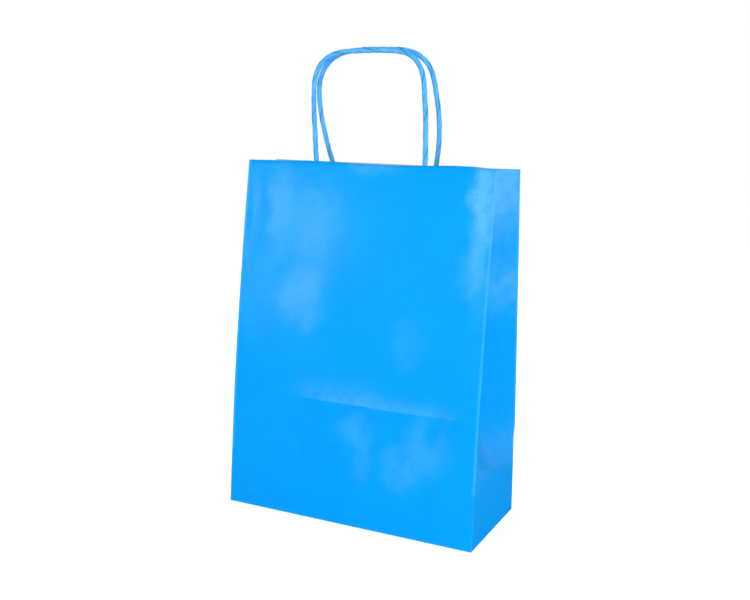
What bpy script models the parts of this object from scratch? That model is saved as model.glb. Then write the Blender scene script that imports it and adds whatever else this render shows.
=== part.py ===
"""A paper carrier bag with twisted paper handles, standing open on its block bottom.

The frame is in metres, +Z up, with the origin at the centre of the base.
The front panel faces -Y and the gussets close the two ends, at -X and +X.
"""
import math

import bmesh
import bpy
from mathutils import Vector

# The bag's sheet
BAG_WIDTH = 0.220
BAG_DEPTH = 0.100
PANEL_HEIGHT = 0.290
MOUTH_DEPTH = 0.0453
PAPER = 0.00016
PANEL_BULGE = 0.0026
CREASE_RIDGE = 0.0008
SIDE_CREASE = {"front": 0.063, "back": 0.041}
APEX_INSET = 0.0012
APEX_HEIGHT = 0.051
FOLD_SETTLE = 0.030
SEAM_LAP = 0.015
SEAM_EDGE_RUN = 0.0005
BASE_OVERLAP = 0.010

# The twisted handles
CORD_DIAMETER = 0.0040
STRIP_EDGE = 0.0003
TWIST_PITCH = 0.030
LEG_PITCH = 0.095
BELLY_HEIGHT = 0.041
RIGHT_SQUARENESS = 4.5
LOOPS_APART = 0.0005

# The glued patches that hold the cords inside each panel
PATCH_WIDTH = 0.160
PATCH_HEIGHT = 0.045
PATCH_DROP = 0.003
PATCH_SHOULDER = 0.002
CORD_END_MARGIN = 0.004

# Each handle is bent a little differently: its rise above the bag, its width,
# where its feet and its top lie along X, and how square its left shoulder is
LOOP_RISE = {"front": 0.0888, "back": 0.0900}
LOOP_WIDTH = {"front": 0.0979, "back": 0.1064}
FOOT_CENTRE = {"front": 0.0020, "back": -0.0049}
TOP_CENTRE = {"front": -0.0115, "back": -0.0114}
LEFT_SQUARENESS = {"front": 3.4, "back": 2.6}

# Clearance between pieces that touch on the real bag
CLEARANCE = 0.0003

# How finely round and curved forms are divided
LOWER_BANDS = 4
UPPER_BANDS = 7
PATCH_BANDS = 4
CORD_SIDES = 10
STATIONS_PER_TWIST = 10
CURVE_STEPS = 60
CHANNEL_STEPS = 6

# The places of one ring's points, counter-clockwise from above
RING_POINTS = 12
(FRONT_RIGHT, RIGHT_FRONT, RIGHT_FOLD, RIGHT_BACK, BACK_RIGHT, SEAM_EDGE,
 SEAM_FOOT, BACK_LEFT, LEFT_BACK, LEFT_FOLD, LEFT_FRONT, FRONT_LEFT) = range(RING_POINTS)

SIDES = ("front", "back")
BLUE_PAPER = ((0.0, 0.36, 0.98, 1.0), 0.38)
BLUE_CORD = ((0.03, 0.42, 0.95, 1.0), 0.60)
WHITE_PAPER = ((0.80, 0.80, 0.78, 1.0), 0.75)

HALF_WIDTH = BAG_WIDTH / 2
HALF_DEPTH = BAG_DEPTH / 2
HALF_MOUTH = MOUTH_DEPTH / 2
TOP_Z = math.sqrt(PANEL_HEIGHT ** 2 - (HALF_DEPTH - HALF_MOUTH) ** 2)
CREASE_HEIGHT = {"front": BAG_DEPTH, "back": SIDE_CREASE["back"]}
FLOOR_Z = 3 * PAPER
CORD_REACH = CORD_DIAMETER / 2 + STRIP_EDGE / 2

# Depths inside the panel's inner face
BASE_STRIP_DEPTH = CLEARANCE
COVER_STRIP_DEPTH = BASE_STRIP_DEPTH + PAPER + CLEARANCE
CORD_DEPTH = COVER_STRIP_DEPTH + CORD_REACH


def clear_scene():
    for item in list(bpy.context.scene.objects):
        bpy.data.objects.remove(item, do_unlink=True)


def make_material(name, colour, roughness):
    material = bpy.data.materials.new(name)
    material.use_nodes = True
    shader = material.node_tree.nodes["Principled BSDF"]
    shader.inputs["Base Color"].default_value = colour
    shader.inputs["Roughness"].default_value = roughness
    shader.inputs["Metallic"].default_value = 0.0
    material.diffuse_color = colour
    return material


def make_object(name, points, faces, finish, smooth=False):
    """One closed body from its corners and faces, facing out."""
    build = bmesh.new()
    corners = [build.verts.new(point) for point in points]
    for face in faces:
        build.faces.new([corners[index] for index in face])
    bmesh.ops.recalc_face_normals(build, faces=build.faces)
    mesh = bpy.data.meshes.new(name)
    build.to_mesh(mesh)
    build.free()
    mesh.materials.append(make_material(name + "_finish", *finish))
    item = bpy.data.objects.new(name, mesh)
    bpy.context.scene.collection.objects.link(item)
    if smooth:
        mesh.shade_smooth()
        mesh.set_sharp_from_angle(angle=math.radians(40))
    return item


# The folded sheet

def facing(side):
    """The way a panel faces along Y."""
    return -1 if side == "front" else 1


def panel_half_depth(side, height):
    """How far a panel stands from the middle plane, at a height along its paper."""
    share = height / PANEL_HEIGHT
    crease = CREASE_HEIGHT[side]
    if height < crease:
        ridge = height / crease
    else:
        ridge = (PANEL_HEIGHT - height) / (PANEL_HEIGHT - crease)
    straight = HALF_DEPTH + (HALF_MOUTH - HALF_DEPTH) * share
    return straight + PANEL_BULGE * math.sin(math.pi * share) + CREASE_RIDGE * ridge


def panel_point(side, x, height, depth=0.0):
    """A point of a panel's outer face, or one further in by a depth."""
    y = facing(side) * (panel_half_depth(side, height) - depth)
    return Vector((x, y, TOP_Z * height / PANEL_HEIGHT))


def gusset_apex():
    """The middle of the +X gusset's bottom crease: below it the gusset is squared out, almost flat."""
    return Vector((HALF_WIDTH - APEX_INSET, 0.0, APEX_HEIGHT))


def folded_inset():
    """How far in the centre fold would stand at the bottom, if it stayed folded all the way down."""
    lean_sin = (HALF_DEPTH - HALF_MOUTH) / PANEL_HEIGHT
    lean_cos = TOP_Z / PANEL_HEIGHT
    across_y = 1 - lean_sin
    across_z = -across_y * lean_sin / lean_cos
    return HALF_DEPTH * math.sqrt(1 - across_y ** 2 - across_z ** 2)


def gusset_fold(height):
    """The centre fold of the +X gusset: it dives in above the squared bottom, then runs straight up."""
    share = (height - HALF_DEPTH) / (PANEL_HEIGHT - HALF_DEPTH)
    z = APEX_HEIGHT + (TOP_Z - APEX_HEIGHT) * share
    inset = folded_inset()
    top_inset = math.sqrt(HALF_DEPTH ** 2 - HALF_MOUTH ** 2)
    straight = inset + (top_inset - inset) * share
    held_out = (inset - APEX_INSET) * math.exp((APEX_HEIGHT - z) / FOLD_SETTLE)
    return Vector((HALF_WIDTH - straight + held_out, 0.0, z))


def mirrored(point):
    return Vector((-point.x, point.y, point.z))


def sheet_ring(front_height, back_height, fold):
    """The sheet's outline round the bag, from the front right edge, by way of the fold, to the front left."""
    front_edge = panel_point("front", HALF_WIDTH, front_height)
    back_edge = panel_point("back", HALF_WIDTH, back_height)
    right = [front_edge, front_edge.lerp(fold, 0.5), fold, back_edge.lerp(fold, 0.5), back_edge]
    seam_x = HALF_WIDTH - SEAM_LAP
    seam = [panel_point("back", x, back_height) for x in (seam_x, seam_x - SEAM_EDGE_RUN)]
    left = [mirrored(point) for point in reversed(right)]
    return right + seam + left


def offset_ring(ring, distance):
    """The same outline moved in by a distance, with mitred corners."""
    moved = []
    for index, point in enumerate(ring):
        before = (point - ring[index - 1]).to_2d().normalized()
        after = (ring[(index + 1) % len(ring)] - point).to_2d().normalized()
        inward_before = Vector((-before.y, before.x))
        inward_after = Vector((-after.y, after.x))
        mitre = (inward_before + inward_after) / (1 + inward_before.dot(inward_after))
        moved.append(point + (mitre * distance).to_3d())
    return moved


def raise_seam(ring):
    """The lapped edge of the sheet stands one paper proud down the back panel."""
    raised = list(ring)
    raised[SEAM_EDGE] = ring[SEAM_EDGE] + Vector((0.0, PAPER, 0.0))
    return raised


def wall_faces(rings, corners):
    """Triangles for one face of the sheet, from the base corners up through the rings.

    rings and corners hold indices. The corners run counter-clockwise from above:
    front left, front right, back right, back left.
    """
    front_left, front_right, back_right, back_left = corners
    fans = {
        front_left: (LEFT_FOLD, LEFT_FRONT, FRONT_LEFT, FRONT_RIGHT),
        front_right: (FRONT_RIGHT, RIGHT_FRONT, RIGHT_FOLD),
        back_right: (RIGHT_FOLD, RIGHT_BACK, BACK_RIGHT, SEAM_EDGE, SEAM_FOOT, BACK_LEFT),
        back_left: (BACK_LEFT, LEFT_BACK, LEFT_FOLD),
    }
    first = rings[0]
    faces = [(front_left, front_right, first[FRONT_RIGHT]), (front_right, back_right, first[RIGHT_FOLD])]
    faces += [(back_right, back_left, first[BACK_LEFT]), (back_left, front_left, first[LEFT_FOLD])]
    for corner, fan in fans.items():
        faces += [(corner, first[after], first[before]) for before, after in zip(fan, fan[1:])]

    folding_in = (FRONT_RIGHT, RIGHT_FRONT, BACK_LEFT, LEFT_BACK)
    for low, high in zip(rings, rings[1:]):
        for index in range(RING_POINTS):
            after = (index + 1) % RING_POINTS
            if index in folding_in:
                faces += [(low[index], low[after], high[index]), (low[after], high[after], high[index])]
            else:
                faces += [(low[index], low[after], high[after]), (low[index], high[after], high[index])]
    return faces


def base_faces(points, corners):
    """The underside: two long flaps lapped past the middle, over a folded triangle at each end."""
    front_left, front_right, back_right, back_left = corners
    tip_x = HALF_WIDTH - HALF_DEPTH
    lap_x = tip_x - BASE_OVERLAP
    flap_rise = PAPER / (HALF_DEPTH - BASE_OVERLAP)
    tip_rise = HALF_DEPTH * flap_rise
    start = len(points)
    for sign in (-1.0, 1.0):
        points.append(Vector((sign * lap_x, -BASE_OVERLAP, 0.0)))
        points.append(Vector((sign * lap_x, -BASE_OVERLAP, PAPER)))
        points.append(Vector((sign * tip_x, 0.0, 0.0)))
        points.append(Vector((sign * tip_x, 0.0, tip_rise)))
        points.append(Vector((sign * tip_x, 0.0, 2 * PAPER)))
    lap_l, under_l, tip_l, mid_l, end_l, lap_r, under_r, tip_r, mid_r, end_r = range(start, start + 10)
    outer_flap = [(back_left, back_right, tip_r), (back_left, tip_r, tip_l)]
    outer_flap += [(tip_l, tip_r, lap_r), (tip_l, lap_r, lap_l)]
    inner_flap = [(front_left, under_l, under_r), (front_left, under_r, front_right)]
    inner_flap += [(front_left, mid_l, under_l), (front_right, under_r, mid_r)]
    edges = [(lap_l, lap_r, under_r), (lap_l, under_r, under_l)]
    for lap, under, tip, mid, end, front, back in (
            (lap_l, under_l, tip_l, mid_l, end_l, front_left, back_left),
            (lap_r, under_r, tip_r, mid_r, end_r, front_right, back_right)):
        edges += [(lap, under, mid), (lap, mid, tip), (tip, mid, back), (mid, end, back)]
        edges += [(mid, front, end), (front, back, end)]
    return outer_flap + inner_flap + edges


def make_bag():
    """The whole bag is one folded sheet, open at the top."""
    side_crease = SIDE_CREASE["front"]
    steps = [side_crease + (BAG_DEPTH - side_crease) * band / LOWER_BANDS for band in range(1, LOWER_BANDS)]
    steps += [BAG_DEPTH + (PANEL_HEIGHT - BAG_DEPTH) * band / UPPER_BANDS
              for band in range(UPPER_BANDS + 1)]
    plain_rings = [sheet_ring(side_crease, SIDE_CREASE["back"], gusset_apex())]
    plain_rings += [sheet_ring(height, height, gusset_fold(height)) for height in steps]
    outer_rings = [raise_seam(ring) for ring in plain_rings]
    inner_rings = [offset_ring(ring, PAPER) for ring in plain_rings]

    apex = gusset_apex()
    fold_lean = (HALF_WIDTH - apex.x) / apex.z
    apex_inset = apex.x - inner_rings[0][RIGHT_FOLD].x
    floor_x = HALF_WIDTH - apex_inset - fold_lean * FLOOR_Z
    floor_y = HALF_DEPTH - PAPER

    points = []
    index_rings = []
    for ring in outer_rings + inner_rings:
        index_rings.append(list(range(len(points), len(points) + len(ring))))
        points += ring
    outer, inner = index_rings[:len(plain_rings)], index_rings[len(plain_rings):]
    corner_sets = []
    for x, y, z in ((HALF_WIDTH, HALF_DEPTH, 0.0), (floor_x, floor_y, FLOOR_Z)):
        corner_sets.append(list(range(len(points), len(points) + 4)))
        points += [Vector(corner) for corner in ((-x, -y, z), (x, -y, z), (x, y, z), (-x, y, z))]
    feet, floor = corner_sets

    faces = wall_faces(outer, feet) + base_faces(points, feet)
    faces += wall_faces(inner, floor)
    faces += [(floor[0], floor[1], floor[2]), (floor[0], floor[2], floor[3])]
    rim_out, rim_in = outer[-1], inner[-1]
    for index in range(RING_POINTS):
        after = (index + 1) % RING_POINTS
        faces += [(rim_out[index], rim_out[after], rim_in[after]),
                  (rim_out[index], rim_in[after], rim_in[index])]
    make_object("bag_body", points, faces, BLUE_PAPER)


# The twisted cords

def half_loop(side, squareness):
    """One leg and its half of the arch, upwards, as distance from the centre and rise."""
    foot = LEG_PITCH / 2
    belly = LOOP_WIDTH[side] / 2
    crown = LOOP_RISE[side] - BELLY_HEIGHT
    half = []
    for step in range(CURVE_STEPS):
        share = step / CURVE_STEPS
        spread = foot + (belly - foot) * math.sin(math.pi / 2 * share)
        half.append((spread, BELLY_HEIGHT * share))
    for step in range(CURVE_STEPS):
        angle = math.pi / 2 * step / CURVE_STEPS
        across = math.cos(angle) ** (2 / squareness)
        up = math.sin(angle) ** (2 / squareness)
        half.append((belly * across, BELLY_HEIGHT + crown * up))
    return half


def loop_outline(side):
    """The loop above the bag's edge, left foot to right foot, as distance from centre and rise."""
    left = [(-across, up) for across, up in half_loop(side, LEFT_SQUARENESS[side])]
    right = half_loop(side, RIGHT_SQUARENESS)
    return left + [(0.0, LOOP_RISE[side])] + right[::-1]


def handle_route(side):
    """The cord's centre line, from one end between the patches to the other."""
    edge = panel_point(side, 0.0, PANEL_HEIGHT, PAPER + CORD_DEPTH)
    below = panel_point(side, 0.0, PANEL_HEIGHT - PATCH_DROP, PAPER + CORD_DEPTH)
    lean = (edge.y - below.y) / (edge.z - below.z)
    rise = LOOP_RISE[side]
    top_y = facing(side) * (CORD_REACH + LOOPS_APART / 2)
    curl = (top_y - edge.y - lean * rise) / rise ** 2
    foot_centre = FOOT_CENTRE[side]
    sway = TOP_CENTRE[side] - foot_centre

    loop = []
    for across, up in loop_outline(side):
        y = edge.y + lean * up + curl * up * up
        centre = foot_centre + sway * (y - edge.y) / (top_y - edge.y)
        loop.append(Vector((centre + across, y, edge.z + up)))

    end_height = PANEL_HEIGHT - PATCH_DROP - PATCH_HEIGHT + CORD_END_MARGIN
    inside = []
    for step in range(CURVE_STEPS):
        height = end_height + (PANEL_HEIGHT - end_height) * step / CURVE_STEPS
        inside.append(panel_point(side, 0.0, height, PAPER + CORD_DEPTH))
    left_x = foot_centre - LEG_PITCH / 2
    right_x = foot_centre + LEG_PITCH / 2
    left = [Vector((left_x, point.y, point.z)) for point in inside]
    right = [Vector((right_x, point.y, point.z)) for point in reversed(inside)]
    return left + loop + right


def even_points(route, spacing):
    """The same route with its points evenly spaced."""
    lengths = [0.0]
    for start, end in zip(route, route[1:]):
        lengths.append(lengths[-1] + (end - start).length)
    count = max(2, round(lengths[-1] / spacing))
    points = []
    index = 0
    for step in range(count + 1):
        target = lengths[-1] * step / count
        while index < len(route) - 2 and lengths[index + 1] < target:
            index += 1
        stretch = lengths[index + 1] - lengths[index]
        points.append(route[index].lerp(route[index + 1], (target - lengths[index]) / stretch))
    return points


def strip_section():
    """The rolled strip's section: its radius grows round to the lapped edge, then steps down."""
    section = []
    for step in range(CORD_SIDES + 1):
        share = step / CORD_SIDES
        section.append((2 * math.pi * share, CORD_REACH - STRIP_EDGE * (1 - share)))
    return section


def make_cord(side):
    """A paper strip rolled and twisted into a cord, so its edge winds round as a long helix."""
    spacing = TWIST_PITCH / STATIONS_PER_TWIST
    route = even_points(handle_route(side), spacing)
    section = strip_section()
    across = Vector((1.0, 0.0, 0.0))
    points = []
    for index, centre in enumerate(route):
        before = route[max(index - 1, 0)]
        after = route[min(index + 1, len(route) - 1)]
        along = (after - before).normalized()
        across = (across - along * across.dot(along)).normalized()
        other = along.cross(across)
        turn = 2 * math.pi * index / STATIONS_PER_TWIST
        for angle, radius in section:
            spoke = across * math.cos(angle + turn) + other * math.sin(angle + turn)
            points.append(centre + spoke * radius)

    size = len(section)
    faces = []
    for station in range(len(route) - 1):
        for corner in range(size):
            low = station * size + corner
            low_next = station * size + (corner + 1) % size
            faces += [(low, low_next, low + size), (low_next, low_next + size, low + size)]
    for first in (0, (len(route) - 1) * size):
        hub = len(points)
        points.append(route[0] if first == 0 else route[-1])
        faces += [(hub, first + corner, first + (corner + 1) % size) for corner in range(size)]
    make_object(side + "_handle_cord", points, faces, BLUE_CORD, smooth=True)


# The patches

def make_strip(name, side, outline):
    """A paper strip along a panel's inner face, from its outline as x and depth inside that face."""
    flat = [Vector((x, depth, 0.0)) for x, depth in outline]
    ahead = [after - before for before, after in zip(flat, flat[1:])]
    ahead = [ahead[0]] + ahead + [ahead[-1]]
    lifted = []
    for point, before, after in zip(flat, ahead, ahead[1:]):
        normal_before = Vector((-before.y, before.x, 0.0)).normalized()
        normal_after = Vector((-after.y, after.x, 0.0)).normalized()
        mitre = (normal_before + normal_after) / (1 + normal_before.dot(normal_after))
        lifted.append(point + mitre * PAPER)
    ring = flat + lifted[::-1]

    top = PANEL_HEIGHT - PATCH_DROP
    points = []
    for band in range(PATCH_BANDS + 1):
        height = top - PATCH_HEIGHT * band / PATCH_BANDS
        points += [panel_point(side, corner.x, height, PAPER + corner.y) for corner in ring]
    size = len(ring)
    faces = []
    for band in range(PATCH_BANDS):
        for corner in range(size):
            here = band * size + corner
            beside = band * size + (corner + 1) % size
            faces.append((here, beside, beside + size, here + size))
    for first in (0, PATCH_BANDS * size):
        for corner in range(len(flat) - 1):
            opposite = size - 1 - corner
            faces.append((first + corner, first + corner + 1, first + opposite - 1, first + opposite))
    make_object(name, points, faces, WHITE_PAPER)


def channel(x):
    """The cover strip's rise over one leg of the cord."""
    radius = CORD_REACH + CLEARANCE
    foot_x = radius + PATCH_SHOULDER
    foot_drop = CORD_DEPTH - COVER_STRIP_DEPTH
    reach = math.hypot(foot_x, foot_drop)
    start = math.pi + math.atan2(foot_drop, foot_x) - math.acos(radius / reach)
    points = [(x - foot_x, COVER_STRIP_DEPTH)]
    for step in range(CHANNEL_STEPS + 1):
        angle = start + (math.pi - 2 * start) * step / CHANNEL_STEPS
        points.append((x + radius * math.cos(angle), CORD_DEPTH + radius * math.sin(angle)))
    points.append((x + foot_x, COVER_STRIP_DEPTH))
    return points


def make_patches(side):
    """The strip glued to the panel, and the strip glued over it and the cord's ends."""
    centre = FOOT_CENTRE[side]
    left = centre - PATCH_WIDTH / 2
    right = centre + PATCH_WIDTH / 2
    make_strip(side + "_patch_base", side, [(left, BASE_STRIP_DEPTH), (right, BASE_STRIP_DEPTH)])
    cover = [(left, COVER_STRIP_DEPTH)]
    cover += channel(centre - LEG_PITCH / 2) + channel(centre + LEG_PITCH / 2)
    cover += [(right, COVER_STRIP_DEPTH)]
    make_strip(side + "_patch_cover", side, cover)


def main():
    clear_scene()
    make_bag()
    for side in SIDES:
        make_cord(side)
        make_patches(side)


main()
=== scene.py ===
"""The looks of the blue paper carrier bag: its creased sheet, twisted cords, patches, light and camera."""

import math

import bmesh
import bpy
import numpy as np
from mathutils import Matrix, Vector, noise
from mathutils.kdtree import KDTree


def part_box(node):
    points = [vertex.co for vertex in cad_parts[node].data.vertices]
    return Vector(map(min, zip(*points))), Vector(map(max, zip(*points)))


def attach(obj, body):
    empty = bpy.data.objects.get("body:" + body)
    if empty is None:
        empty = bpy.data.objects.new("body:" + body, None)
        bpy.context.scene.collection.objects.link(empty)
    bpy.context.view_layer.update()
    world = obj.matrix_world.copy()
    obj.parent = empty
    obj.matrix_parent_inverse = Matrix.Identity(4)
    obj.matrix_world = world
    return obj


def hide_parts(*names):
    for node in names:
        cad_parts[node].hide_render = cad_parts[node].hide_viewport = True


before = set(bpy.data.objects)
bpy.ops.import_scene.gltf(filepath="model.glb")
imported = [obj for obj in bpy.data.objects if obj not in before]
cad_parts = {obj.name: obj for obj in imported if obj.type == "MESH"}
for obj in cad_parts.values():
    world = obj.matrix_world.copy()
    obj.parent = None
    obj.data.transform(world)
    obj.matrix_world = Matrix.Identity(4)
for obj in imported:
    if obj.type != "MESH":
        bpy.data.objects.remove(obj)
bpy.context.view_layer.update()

# Sizes read from the frame, in metres
BAG_LOW, BAG_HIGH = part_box("bag_body")
HALF_WIDTH = (BAG_HIGH.x - BAG_LOW.x) / 2
HALF_DEPTH = (BAG_HIGH.y - BAG_LOW.y) / 2
TOP_Z = BAG_HIGH.z

# The sheet, with the same values as the part
HALF_MOUTH = 0.0453 / 2
PAPER = 0.00016
PANEL_BULGE = 0.0026
CREASE_RIDGE = 0.0008
SIDE_CREASE = {"front": 0.063, "back": 0.041}
APEX_INSET = 0.0012
APEX_HEIGHT = 0.051
FOLD_SETTLE = 0.030
SEAM_LAP = 0.015
BASE_OVERLAP = 0.010
PANEL_HEIGHT = math.hypot(TOP_Z, HALF_DEPTH - HALF_MOUTH)
FRONT_CREASE = 2 * HALF_DEPTH
PANEL_CREASE = {"front": FRONT_CREASE, "back": SIDE_CREASE["back"]}

# The handles, with the same values as the part
CORD_DIAMETER = 0.0040
STRIP_EDGE = 0.0003
TWIST_PITCH = 0.030
LEG_PITCH = 0.095
BELLY_HEIGHT = 0.041
RIGHT_SQUARENESS = 4.5
LOOPS_APART = 0.0005
LOOP_RISE = {"front": 0.0888, "back": 0.0900}
LOOP_WIDTH = {"front": 0.0979, "back": 0.1064}
FOOT_CENTRE = {"front": 0.0020, "back": -0.0049}
TOP_CENTRE = {"front": -0.0115, "back": -0.0114}
LEFT_SQUARENESS = {"front": 3.4, "back": 2.6}
PATCH_WIDTH = 0.160
PATCH_HEIGHT = 0.045
PATCH_DROP = 0.003
CORD_END_MARGIN = 0.004
CLEARANCE = 0.0003
CORD_REACH = CORD_DIAMETER / 2 + STRIP_EDGE / 2
BASE_STRIP_DEPTH = CLEARANCE
COVER_STRIP_DEPTH = BASE_STRIP_DEPTH + PAPER + CLEARANCE
CORD_DEPTH = COVER_STRIP_DEPTH + CORD_REACH

# How finely the shapes are divided
PANEL_COLUMNS = 80
GUSSET_COLUMNS = 18
TRIANGLE_COLUMNS = 36
MICROMETRES = 1e6
ROW_SPACING = 0.0031
CREASE_ROWS = (0.0004, 0.0010, 0.0018)
NORMAL_STEP = 0.001
FOLD_RADIUS = 0.0007
FOLD_SEGMENTS = 3
SHEET_SHARP = math.radians(35)
CORD_SIDES = 28
CORD_STEP = 0.0011
CURVE_STEPS = 60
CORD_SHARP = math.radians(50)

# Colours, in linear light
WHITE = (1.0, 1.0, 1.0, 1.0)
FLOOR_GREY = (0.70, 0.70, 0.70, 1.0)
PRINT_BLUE = (0.0, 0.345, 0.94, 1.0)
PRINT_BLUE_CLOUD = (0.0, 0.368, 0.965, 1.0)
PRINT_BLUE_BLOTCH = (0.0, 0.385, 0.98, 1.0)
PRINT_BLUE_FIBRE = (0.0, 0.30, 0.90, 1.0)
# Painted highlight: paler blue laid on the print where the paper's reflections show
PAINTED_HIGHLIGHT_BLUE = (0.090, 0.47, 0.99, 1.0)
# Worn print along the folds; on the panels' upright folds it is also a painted highlight of the rounded
# edge
WORN_AND_HIGHLIGHT_BLUE = (0.055, 0.50, 1.0, 1.0)
CORD_BLUE = (0.035, 0.40, 0.90, 1.0)
CORD_BLUE_CLOUD = (0.075, 0.47, 0.96, 1.0)
# Painted light and shade on the cord: lighter on raised wrinkles, darker in sunk ones and in the strip's
# groove
CORD_BLUE_PAINTED_LIGHT = (0.19, 0.60, 1.0, 1.0)
CORD_BLUE_PAINTED_SHADE = (0.0, 0.24, 0.70, 1.0)
CORD_BLUE_GROOVE_PAINTED_SHADE = (0.0, 0.19, 0.58, 1.0)
GROOVE_SHADE = 0.7
INSIDE_WHITE = (0.74, 0.79, 0.83, 1.0)
INSIDE_SHADE = (0.66, 0.71, 0.76, 1.0)
PATCH_WHITE = (0.78, 0.79, 0.79, 1.0)
PATCH_SHADE = (0.69, 0.70, 0.70, 1.0)

# Gloss
PRINT_IOR = 1.15
WORN_ROUGHNESS = 0.10
DULL_ROUGHNESS = 0.60
PLAIN_SPECULAR = 0.25
CORD_SPECULAR = 0.30
FLOOR_ROUGHNESS = 0.9


# Materials

def new_material(name):
    material = bpy.data.materials.new(name)
    material.use_nodes = True
    tree = material.node_tree
    return material, tree, tree.nodes["Principled BSDF"]


def add_node(tree, kind, sockets=None, **properties):
    """A node with its properties set, and its input sockets set to a value or linked to an output."""
    node = tree.nodes.new(kind)
    for key, value in properties.items():
        setattr(node, key, value)
    for key, value in (sockets or {}).items():
        if isinstance(value, (int, float, tuple)):
            node.inputs[key].default_value = value
        else:
            tree.links.new(value, node.inputs[key])
    return node


def object_place(tree):
    return add_node(tree, "ShaderNodeTexCoord").outputs["Object"]


def read_values(tree, name, output="Fac"):
    """The values that the mesh carries under a name."""
    return add_node(tree, "ShaderNodeAttribute", attribute_name=name).outputs[output]


def add_noise(tree, source, scale, detail, roughness, distortion=0.0):
    sockets = {"Vector": source, "Scale": scale, "Detail": detail}
    sockets.update({"Roughness": roughness, "Distortion": distortion})
    return add_node(tree, "ShaderNodeTexNoise", sockets).outputs["Fac"]


def remap(tree, value, given, wanted):
    """The value moved from one range to another. It stops at the range's ends."""
    sockets = {"Value": value, "From Min": given[0], "From Max": given[1]}
    sockets.update({"To Min": wanted[0], "To Max": wanted[1]})
    return add_node(tree, "ShaderNodeMapRange", sockets).outputs["Result"]


def math_node(tree, operation, first, second):
    node = add_node(tree, "ShaderNodeMath", {0: first, 1: second}, operation=operation)
    return node.outputs["Value"]


def mix_colour(tree, factor, first, second):
    """A blend of two colours. A mix node's colour sockets come after those for numbers and places."""
    node = add_node(tree, "ShaderNodeMix", data_type="RGBA")
    for socket, value in ((node.inputs[0], factor), (node.inputs[6], first), (node.inputs[7], second)):
        if isinstance(value, tuple):
            socket.default_value = value
        else:
            tree.links.new(value, socket)
    return node.outputs[2]


def bump_chain(tree, shader, layers):
    """Several bump layers, coarse to fine, as (height, strength, distance)."""
    normal = None
    for height, strength, distance in layers:
        sockets = {"Height": height, "Strength": strength, "Distance": distance}
        if normal is not None:
            sockets["Normal"] = normal
        normal = add_node(tree, "ShaderNodeBump", sockets).outputs["Normal"]
    tree.links.new(normal, shader.inputs["Normal"])


def printed_paper():
    """Satin blue print on smooth paper: worn along its folds, with painted highlights in places, dull low
    on the gussets. The pale line on its upright folds is wear and a painted highlight.
    """
    material, tree, shader = new_material("blue_printed_paper")
    place = object_place(tree)
    # fold: worn print along the folds, and on the panels' upright folds also a painted highlight
    fold = read_values(tree, "fold")
    # Painted highlight: where the print is made paler to stand for the paper's reflections
    painted_highlight = read_values(tree, "painted_highlight")
    dull = read_values(tree, "dull")
    clouds = add_noise(tree, place, scale=14.0, detail=3.0, roughness=0.55)
    blotches = add_noise(tree, place, scale=120.0, detail=4.0, roughness=0.6)
    grain = add_noise(tree, place, scale=1700.0, detail=3.0, roughness=0.6)
    fibres = add_noise(tree, place, scale=520.0, detail=4.0, roughness=0.65, distortion=0.8)

    ink = mix_colour(tree, remap(tree, clouds, (0.35, 0.65), (0.0, 1.0)), PRINT_BLUE, PRINT_BLUE_CLOUD)
    ink = mix_colour(tree, remap(tree, blotches, (0.45, 0.7), (0.0, 0.5)), ink, PRINT_BLUE_BLOTCH)
    ink = mix_colour(tree, remap(tree, fibres, (0.25, 0.42), (0.4, 0.0)), ink, PRINT_BLUE_FIBRE)
    # Painted highlight: the print turns paler in patches with ragged edges
    painted_highlight_mask = math_node(tree, "MULTIPLY", painted_highlight, remap(tree, blotches, (0.30, 0.62), (0.35, 1.0)))
    ink = mix_colour(tree, painted_highlight_mask, ink, PAINTED_HIGHLIGHT_BLUE)
    # Worn print, paler along the folds; on the upright panel folds partly a painted highlight
    worn = math_node(tree, "MULTIPLY", fold, remap(tree, fibres, (0.35, 0.62), (0.3, 1.0)))
    ink = mix_colour(tree, worn, ink, WORN_AND_HIGHLIGHT_BLUE)
    tree.links.new(ink, shader.inputs["Base Color"])

    roughness = remap(tree, clouds, (0.3, 0.7), (0.16, 0.22))
    roughness = math_node(tree, "ADD", roughness, remap(tree, blotches, (0.3, 0.7), (-0.03, 0.05)))
    for values, amount in ((fold, WORN_ROUGHNESS), (dull, DULL_ROUGHNESS)):
        roughness = math_node(tree, "ADD", roughness, math_node(tree, "MULTIPLY", values, amount))
    tree.links.new(roughness, shader.inputs["Roughness"])
    shader.inputs["IOR"].default_value = PRINT_IOR
    bump_chain(tree, shader, [(blotches, 0.16, 0.0006), (fibres, 0.12, 0.00012), (grain, 0.18, 0.00005)])
    return material


def plain_paper(name, colour, shade):
    """Uncoated white paper, with its fibres and a little cloudiness."""
    material, tree, shader = new_material(name)
    place = object_place(tree)
    clouds = add_noise(tree, place, scale=45.0, detail=4.0, roughness=0.6)
    fibres = add_noise(tree, place, scale=900.0, detail=4.0, roughness=0.7, distortion=1.2)
    tone = mix_colour(tree, remap(tree, clouds, (0.3, 0.7), (0.0, 1.0)), colour, shade)
    tone = mix_colour(tree, remap(tree, fibres, (0.45, 0.75), (0.0, 0.35)), tone, shade)
    tree.links.new(tone, shader.inputs["Base Color"])
    tree.links.new(remap(tree, fibres, (0.3, 0.7), (0.62, 0.80)), shader.inputs["Roughness"])
    shader.inputs["Specular IOR Level"].default_value = PLAIN_SPECULAR
    bump_chain(tree, shader, [(clouds, 0.06, 0.0008), (fibres, 0.25, 0.0001)])
    return material


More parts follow.
